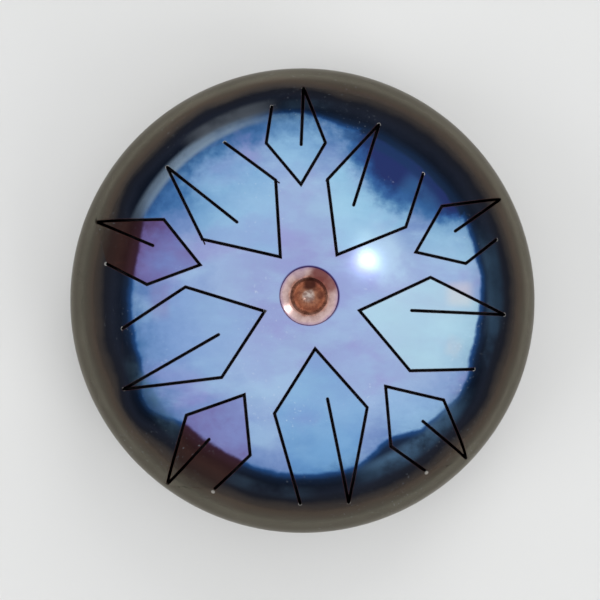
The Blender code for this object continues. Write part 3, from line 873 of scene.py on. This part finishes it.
def zinc_steel():
    """Bright zinc with a faint straw and blue cast, duller on rubbed edges."""
    paint = Paint("zinc_plating", metallic=1.0, roughness=0.28)
    cast = paint.span(paint.noise(160.0, 2.0, 0.5), 0.35, 0.65)
    base = paint.mix(cast, colour(206, 206, 196), colour(190, 198, 208))
    dull = paint.span(paint.noise(700.0, 4.0, 0.6), 0.45, 0.70)
    base = paint.mix(paint.math("MULTIPLY", dull, 0.35), base, colour(150, 150, 146))
    base = paint.mix(paint.edges(0.3 * MM, 0.85, 0.99, 0.5), base, colour(172, 168, 160))
    rough = paint.span(dull, 0.0, 1.0, 0.22, 0.38)
    paint.set(Base_Color=base, Roughness=rough, Normal=paint.bump(dull, 0.15, 0.03 * MM))
    return paint.material


def rubber():
    """Matt moulded rubber, dusty in places and scuffed grey on its edges."""
    paint = Paint("black_rubber", metallic=0.0, roughness=0.75)
    dust = paint.span(paint.noise(40.0, 5.0, 0.6), 0.45, 0.75)
    grain = paint.noise(1400.0, 2.0, 0.5)
    base = paint.mix(dust, colour(38, 38, 40), colour(58, 57, 56))
    scuffed = paint.math("MULTIPLY", paint.edges(0.8 * MM, 0.85, 0.99, 0.5), dust)
    base = paint.mix(scuffed, base, colour(88, 86, 84))
    rough = paint.span(dust, 0.0, 1.0, 0.62, 0.85)
    paint.set(Base_Color=base, Roughness=rough, Normal=paint.bump(grain, 0.35, 0.08 * MM))
    return paint.material


Finish = namedtuple(
    "Finish", "crown_colours edge_colours cool warm clouding patches edge_patches arcs")
UPPER_FINISH = Finish(CROWN_COLOURS, EDGE_REFLECTION_COLOURS, colour(164, 206, 226), LAVENDER, 0.42,
                      HEAT_AND_PAINTED_LIGHT_PATCHES, EDGE_PATCHES, TINT_AND_REFLECTION_ARCS)
VIOLET_FINISH = Finish(VIOLET_CROWN_COLOURS, VIOLET_EDGE_REFLECTION_COLOURS, colour(118, 142, 196),
                       colour(120, 90, 144), 0.50, HEAT_AND_PAINTED_LIGHT_PATCHES, EDGE_PATCHES, ())
LOWER_FINISH = Finish(LOWER_CROWN_COLOURS, LOWER_EDGE_COLOURS, colour(92, 118, 154),
                      colour(96, 88, 128), 0.35, (), (), ())

VIOLET_TONGUES = (7, 9)
# Each tongue's own tint on the crown, and how strongly it shows. Tongue 8's is darkened as painted
# shade of the drum's left side.
TONGUE_TINTS = {
    1: (colour(140, 184, 218), 0.55),
    2: (colour(154, 204, 228), 0.60),
    3: (colour(140, 182, 208), 0.55),
    4: (colour(178, 212, 222), 0.75),
    5: (colour(138, 170, 210), 0.55),
    6: (colour(96, 146, 198), 0.65),
    7: (colour(140, 128, 178), 0.35),
    # painted shade: tongue 8 darker, as on the drum's left side
    8: (colour(126, 150, 198), 0.60),
    9: (colour(108, 104, 162), 0.30),
    10: (colour(128, 176, 212), 0.55),
}


def build_upper_half(roots):
    inner = bare_steel("inner_steel", colour(96, 92, 98), colour(70, 62, 66), 0.42)
    for number, root in roots.items():
        node = f"tongue_{number}"
        bm = solid_of(node)
        root.close_gap(bm)
        slice_finely(bm, UPPER)
        tint, share = TONGUE_TINTS[number]
        finish = VIOLET_FINISH if number in VIOLET_TONGUES else UPPER_FINISH
        steel = tempered_steel(f"tempered_{node}", finish, tint, share)
        piece = finish_surface(f"{node}_sheet", bm, UPPER, (steel, inner))
        mark_free_edges(piece, [root])
        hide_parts(node)
        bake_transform(piece)
    bm = solid_of("upper_shell")
    slice_finely(bm, UPPER)
    slot_ends = [end for root in roots.values() for end in root.slot_ends()]
    steel = tempered_steel("tempered_upper", UPPER_FINISH, LAVENDER, 0.25, slot_ends,
                           dimple=True)
    shell = finish_surface("upper_shell_sheet", bm, UPPER, (steel, inner))
    mark_free_edges(shell, roots.values())
    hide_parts("upper_shell")
    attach(shell, "drum_body")


def build_lower_half():
    inner = bare_steel("inner_dark_steel", colour(84, 82, 88), colour(58, 54, 60), 0.45)
    bm = solid_of("lower_shell")
    slice_finely(bm, LOWER)
    steel = tempered_steel("tempered_lower", LOWER_FINISH, colour(96, 104, 140), 0.2)
    shell = finish_surface("lower_shell_sheet", bm, LOWER, (steel, inner))
    mark_free_edges(shell, [])
    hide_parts("lower_shell")
    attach(shell, "drum_body")


# ---- seam, port and feet ----

def build_seam():
    """The backing hoop, and the weld with the ripples that its dressing left."""
    low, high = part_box("joint_hoop")
    hoop = eased([
        (high.x, high.z, 0.3 * MM),
        (high.x - HOOP_THICK, high.z, 0.3 * MM),
        (high.x - HOOP_THICK, low.z, 0.3 * MM),
        (high.x, low.z, 0.3 * MM),
    ])
    steel = bare_steel("hoop_steel", colour(150, 149, 147), colour(112, 108, 106), 0.34)
    dress("joint_hoop", turned(hoop, SECTORS), steel)

    low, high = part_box("seam_bead")
    middle = (low.z + high.z) / 2
    half = (high.z - low.z) / 2
    arc = [math.pi * step / BEAD_STEPS - math.pi / 2 for step in range(BEAD_STEPS + 1)]
    bead = [Vector((UPPER.rim + BEAD_PROUD * math.cos(angle), middle + half * math.sin(angle)))
            for angle in arc]
    inside = UPPER.rim - SHEET
    bead += [Vector((inside, high.z)), Vector((inside, low.z))]

    def ripple(radius, angle):
        proud = max(radius - UPPER.rim, 0.0)
        scallop = 0.55 + 0.45 * abs(math.cos(BEAD_RIPPLES / 2 * angle))
        return radius - proud * (1 - scallop)

    dress("seam_bead", turned(bead, BEAD_RIPPLES * RIPPLE_STEPS, ripple), weld_steel())


def build_port_edging(material):
    """The rubber channel over the port's edge, with the joint where its ends meet."""
    lean = math.asin(PORT_RADIUS / CROWN_RADIUS)
    edge = Vector((PORT_RADIUS, LOWER.edge - LOWER.crown(PORT_RADIUS)))
    along = Vector((math.cos(lean), math.sin(lean)))
    inwards = Vector((-math.sin(lean), math.cos(lean)))

    def at(run, rise, cut):
        place = edge + along * run + inwards * rise
        return place.x, place.y, cut

    over = SHEET + GAP
    web = -GAP - EDGING_WEB
    soft = EDGING_WALL / 2
    outline = eased([
        at(-GAP, -GAP, 0.1 * MM),
        at(EDGING_LEG, -GAP, 0.3 * MM),
        at(EDGING_LEG, -GAP - EDGING_WALL, 0.7 * MM),
        at(web + soft, -GAP - EDGING_WALL, 0.8 * MM),
        at(web, -GAP, 0.8 * MM),
        at(web, over, 0.8 * MM),
        at(web + soft, over + EDGING_WALL, 0.8 * MM),
        at(EDGING_LEG, over + EDGING_WALL, 0.7 * MM),
        at(EDGING_LEG, over, 0.3 * MM),
        at(-GAP, over, 0.1 * MM),
    ])
    edging = turned(outline, EDGING_SECTORS, joint=EDGING_JOINT)
    dress("port_trim", edging, material)


def foot_outline():
    top = -GAP
    nut_seat = top - NUT_FLANGE_THICK - 2 * GAP
    shoulder = top - HEAD_SEAT
    side_low = Vector((FOOT_BOTTOM_RADIUS, -FOOT_LENGTH))
    side_high = Vector((FOOT_TOP_RADIUS, top - FOOT_EDGE))
    corners = [
        (NUT_FLANGE_RADIUS + GAP, top, 0.3 * MM),
        (NUT_FLANGE_RADIUS + GAP, nut_seat, 0.2 * MM),
        (BORE_RADIUS, nut_seat, 0.2 * MM),
        (BORE_RADIUS, shoulder, 0.3 * MM),
        (COUNTERBORE_RADIUS, shoulder, 0.4 * MM),
        (COUNTERBORE_RADIUS, -FOOT_LENGTH, 0),
        (FOOT_BOTTOM_RADIUS, -FOOT_LENGTH, 0),
    ]
    for share in FOOT_GROOVES:
        for offset, depth in ((-GROOVE_HALF, 0.0), (0.0, GROOVE_DEPTH), (GROOVE_HALF, 0.0)):
            place = side_low.lerp(side_high, share + offset)
            corners.append((place.x - depth, place.y, 0.3 * MM))
    corners += [
        (FOOT_TOP_RADIUS, top - FOOT_EDGE, 0.8 * MM),
        (FOOT_TOP_RADIUS - FOOT_EDGE, top, 0.8 * MM),
    ]
    return eased(corners)


def screw_outline():
    seat = -GAP - HEAD_SEAT - GAP - WASHER_THICK - GAP
    under = seat - SCREW_HEAD_HEIGHT
    corners = [
        (0.0, SCREW_TOP, 0),
        (0.0, under + SCREW_DRIVE_DEPTH, 0),
        (SCREW_DRIVE_RADIUS, under + SCREW_DRIVE_DEPTH, 0),
        (SCREW_DRIVE_RADIUS, under, 0),
        (SCREW_FACE_RADIUS, under, 0.7 * MM),
        (SCREW_HEAD_RADIUS, seat - SCREW_HEAD_HEIGHT / 2, 0.7 * MM),
        (SCREW_HEAD_RADIUS, seat, 0.15 * MM),
        (SCREW_RADIUS, seat, 0),
    ]
    turns = int((SCREW_TOP - seat) / THREAD_PITCH) - 1
    for turn in range(1, turns):
        crest = seat + turn * THREAD_PITCH
        corners.append((SCREW_RADIUS, crest, 0.1 * MM))
        corners.append((SCREW_RADIUS - THREAD_DEPTH, crest + THREAD_PITCH / 2, 0.1 * MM))
    corners.append((SCREW_RADIUS - THREAD_DEPTH, SCREW_TOP, 0.2 * MM))
    return eased(corners)


def socket(radius, angle):
    """Turns the head's drive from a round hole to the hexagon inside it."""
    if radius > SCREW_DRIVE_RADIUS + WELD:
        return radius
    sixth = math.pi / 3
    return radius * math.cos(sixth / 2) / math.cos(angle % sixth - sixth / 2)


def washer_outline():
    top = -GAP - HEAD_SEAT - GAP
    return eased([
        (BORE_RADIUS, top - WASHER_THICK, 0.1 * MM),
        (WASHER_RADIUS, top - WASHER_THICK, 0.25 * MM),
        (WASHER_RADIUS, top, 0.15 * MM),
        (BORE_RADIUS, top, 0.1 * MM),
    ])


def nut_outline():
    bulge = SHEET + GAP
    return eased([
        (BORE_RADIUS, -GAP - NUT_FLANGE_THICK, 0.2 * MM),
        (NUT_FLANGE_RADIUS, -GAP - NUT_FLANGE_THICK, 0.3 * MM),
        (NUT_FLANGE_RADIUS, -GAP, 0.1 * MM),
        (NUT_BODY_RADIUS, -GAP, 0.1 * MM),
        (NUT_BODY_RADIUS, bulge, 0.1 * MM),
        (NUT_FLANGE_RADIUS, bulge, 0.6 * MM),
        (NUT_BODY_RADIUS, bulge + NUT_BULGE_HEIGHT, 0.6 * MM),
        (NUT_BODY_RADIUS, NUT_TOP, 0.2 * MM),
        (BORE_RADIUS, NUT_TOP, 0.15 * MM),
    ])


def foot_frame(number):
    """A foot's place: on the sheet's outer face, its Z axis square to the sheet and inwards."""
    low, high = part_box(f"foot_washer_{number}")
    bearing = math.atan2(low.y + high.y, low.x + high.x)
    lean = math.asin(FOOT_CIRCLE / CROWN_RADIUS)
    height = LOWER.edge - LOWER.crown(FOOT_CIRCLE)
    around = Matrix.Rotation(bearing, 4, "Z")
    return around @ Matrix.Translation((FOOT_CIRCLE, 0, height)) @ Matrix.Rotation(-lean, 4, "Y")


def level(bm, axis):
    """Cuts what reaches under the table level, as the foot's underside is ground flat."""
    for vertex in bm.verts:
        if vertex.co.z < 0:
            vertex.co -= axis * (vertex.co.z / axis.z)


def build_feet(material):
    zinc = zinc_steel()
    for number in range(1, 5):
        place = foot_frame(number)
        foot = turned(foot_outline(), FOOT_SECTORS)
        foot.transform(place)
        level(foot, place.to_3x3().col[2])
        dress(f"foot_{number}", foot, material)
        for node, outline, shape in (("foot_rivet_nut", nut_outline(), None),
                                     ("foot_washer", washer_outline(), None),
                                     ("foot_screw", screw_outline(), socket)):
            piece = turned(outline, FASTENER_SECTORS, shape)
            piece.transform(place)
            dress(f"{node}_{number}", piece, zinc)


# ---- studio ----
FLOOR_RADIUS = 4.0
FLOOR_SECTORS = 96
WALL_HEIGHT = 1.9
COVE = 0.8                  # radius of the bend between floor and wall
COVE_STEPS = 12
SOFTBOX_PLACE = (0.17, 0.11, 2.2)
SOFTBOX_RADIUS = 1.78
SOFTBOX_POWER = 25.0
FILL_POWER = 20.0
FILL_SIZE = 1.6
FILL_BEARINGS = (75, 195, 315)
FILL_REACH = 2.4
FILL_HEIGHT = 1.9
SUN_STRENGTH = 0.019
SUN_WIDTH = math.radians(3.3)
AIR = colour(153, 155, 158)
SUN_OFF_ZENITH = math.radians(17.8)
SUN_BEARING = math.radians(31.6)


def build_studio():
    """A pale floor that sweeps up into a pale wall all round."""
    profile = [(0.0, 0.0)]
    for step in range(COVE_STEPS + 1):
        angle = math.pi / 2 * step / COVE_STEPS
        profile.append((FLOOR_RADIUS - COVE + COVE * math.sin(angle), COVE * (1 - math.cos(angle))))
    profile.append((FLOOR_RADIUS, WALL_HEIGHT))
    bm = bmesh.new()
    line = [bm.verts.new((radius, 0.0, height)) for radius, height in profile]
    edges = [bm.edges.new(pair) for pair in zip(line, line[1:])]
    bmesh.ops.spin(bm, geom=line + edges, axis=(0, 0, 1), cent=(0, 0, 0),
                   steps=FLOOR_SECTORS, angle=2 * math.pi, use_merge=True)
    bmesh.ops.remove_doubles(bm, verts=bm.verts, dist=WELD)
    for face in bm.faces:
        face.smooth = True
    mesh = bpy.data.meshes.new("studio_floor")
    bm.to_mesh(mesh)
    bm.free()
    paint = Paint("studio_paper", metallic=0.0, roughness=0.9)
    paint.set(Base_Color=paint.mix(paint.noise(3.0), colour(226, 226, 224), colour(232, 232, 231)))
    mesh.materials.append(paint.material)
    add_object("studio_floor", mesh)


def add_light(name, kind, place, aim, **settings):
    light = bpy.data.lights.new(name, kind)
    for key, value in settings.items():
        setattr(light, key, value)
    item = bpy.data.objects.new(name, light)
    item.location = place
    item.rotation_euler = (Vector(aim) - Vector(place)).to_track_quat("-Z", "Y").to_euler()
    bpy.context.scene.collection.objects.link(item)
    return item


def build_lights():
    x, y, _ = SOFTBOX_PLACE
    overhead = add_light("overhead_softbox", "AREA", SOFTBOX_PLACE, (x, y, 0),
                         shape="DISK", size=2 * SOFTBOX_RADIUS, energy=SOFTBOX_POWER)
    overhead.visible_camera = False
    lean = math.sin(SUN_OFF_ZENITH)
    sun_place = (lean * math.cos(SUN_BEARING), lean * math.sin(SUN_BEARING),
                 math.cos(SUN_OFF_ZENITH))
    add_light("key", "SUN", sun_place, (0, 0, 0), energy=SUN_STRENGTH, angle=SUN_WIDTH)
    for bearing in FILL_BEARINGS:
        angle = math.radians(bearing)
        place = (FILL_REACH * math.cos(angle), FILL_REACH * math.sin(angle), FILL_HEIGHT)
        fill = add_light(f"fill_{bearing}", "AREA", place, (0, 0, 0), shape="DISK",
                         size=FILL_SIZE, energy=FILL_POWER)
        fill.visible_camera = False
        fill.visible_glossy = False
    world = bpy.data.worlds.new("studio_air")
    world.use_nodes = True
    background = world.node_tree.nodes["Background"]
    background.inputs["Color"].default_value = AIR
    background.inputs["Strength"].default_value = 1.0
    bpy.context.scene.world = world


def build_camera():
    camera = bpy.data.cameras.new("camera")
    camera.lens = LENS
    camera.sensor_width = SENSOR
    item = bpy.data.objects.new("camera", camera)
    ahead = (Vector(CAMERA_TARGET) - Vector(CAMERA_PLACE)).normalized()
    right = ahead.cross(Vector((0, 1, 0))).normalized()
    above = right.cross(ahead)
    turn = Matrix((right, above, -ahead)).transposed().to_4x4()
    item.matrix_world = Matrix.Translation(CAMERA_PLACE) @ turn
    bpy.context.scene.collection.objects.link(item)
    bpy.context.scene.camera = item


bpy.context.scene.view_settings.view_transform = "Standard"
build_camera()
build_studio()
build_lights()
ROOTS = {int(joint["child"].split("_")[1]): Root(joint) for joint in frame["joints"]}
build_upper_half(ROOTS)
build_lower_half()
build_seam()
RUBBER = rubber()
build_port_edging(RUBBER)
build_feet(RUBBER)
